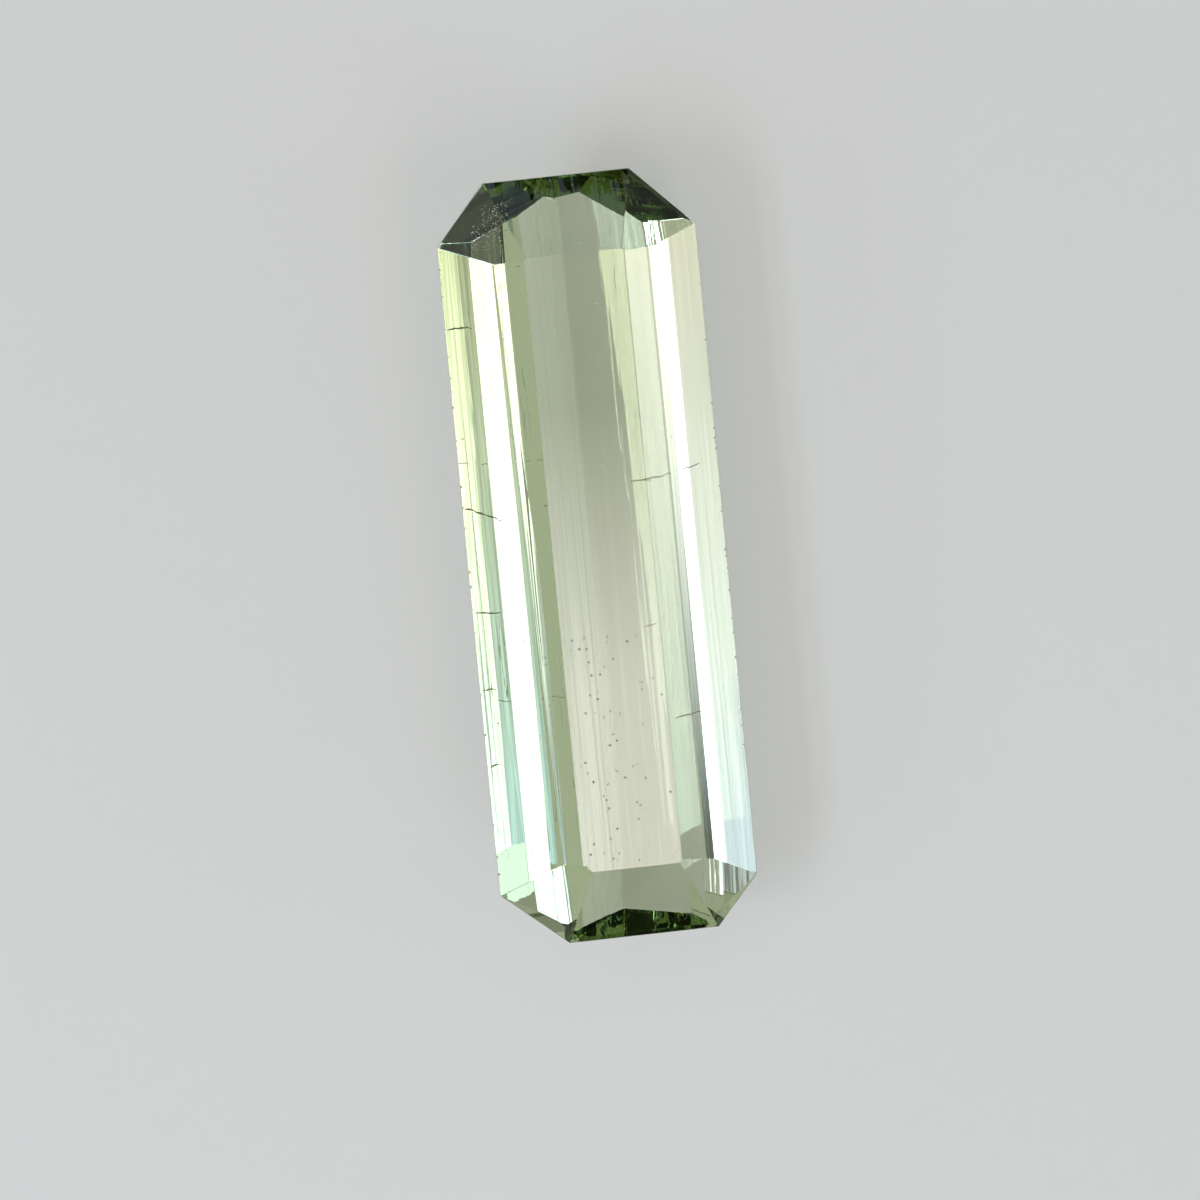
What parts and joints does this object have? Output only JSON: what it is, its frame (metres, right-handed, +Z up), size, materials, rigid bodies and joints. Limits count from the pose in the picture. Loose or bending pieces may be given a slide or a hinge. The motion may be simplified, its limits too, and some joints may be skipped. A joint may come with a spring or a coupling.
{
  "type": "cut tourmaline gemstone",
  "caption": "Loose pale green tourmaline in a long step cut, lying on a pavilion facet, to be set in jewellery or shown on a surface.",
  "frame": {"origin": "centre of the stone's box, at the height of the surface it rests on", "axes": "+Z up, +Y along the stone towards its head; the table faces up and leans 21.4 degrees to +X"},
  "size_m": [0.003, 0.0096, 0.0021],
  "materials": {
    "tourmaline": "polished flat facets, clear pale green gem with a few fine inclusions"
  },
  "bodies": {
    "root": {"cut_tourmaline": "tourmaline"}
  },
  "joints": []
}
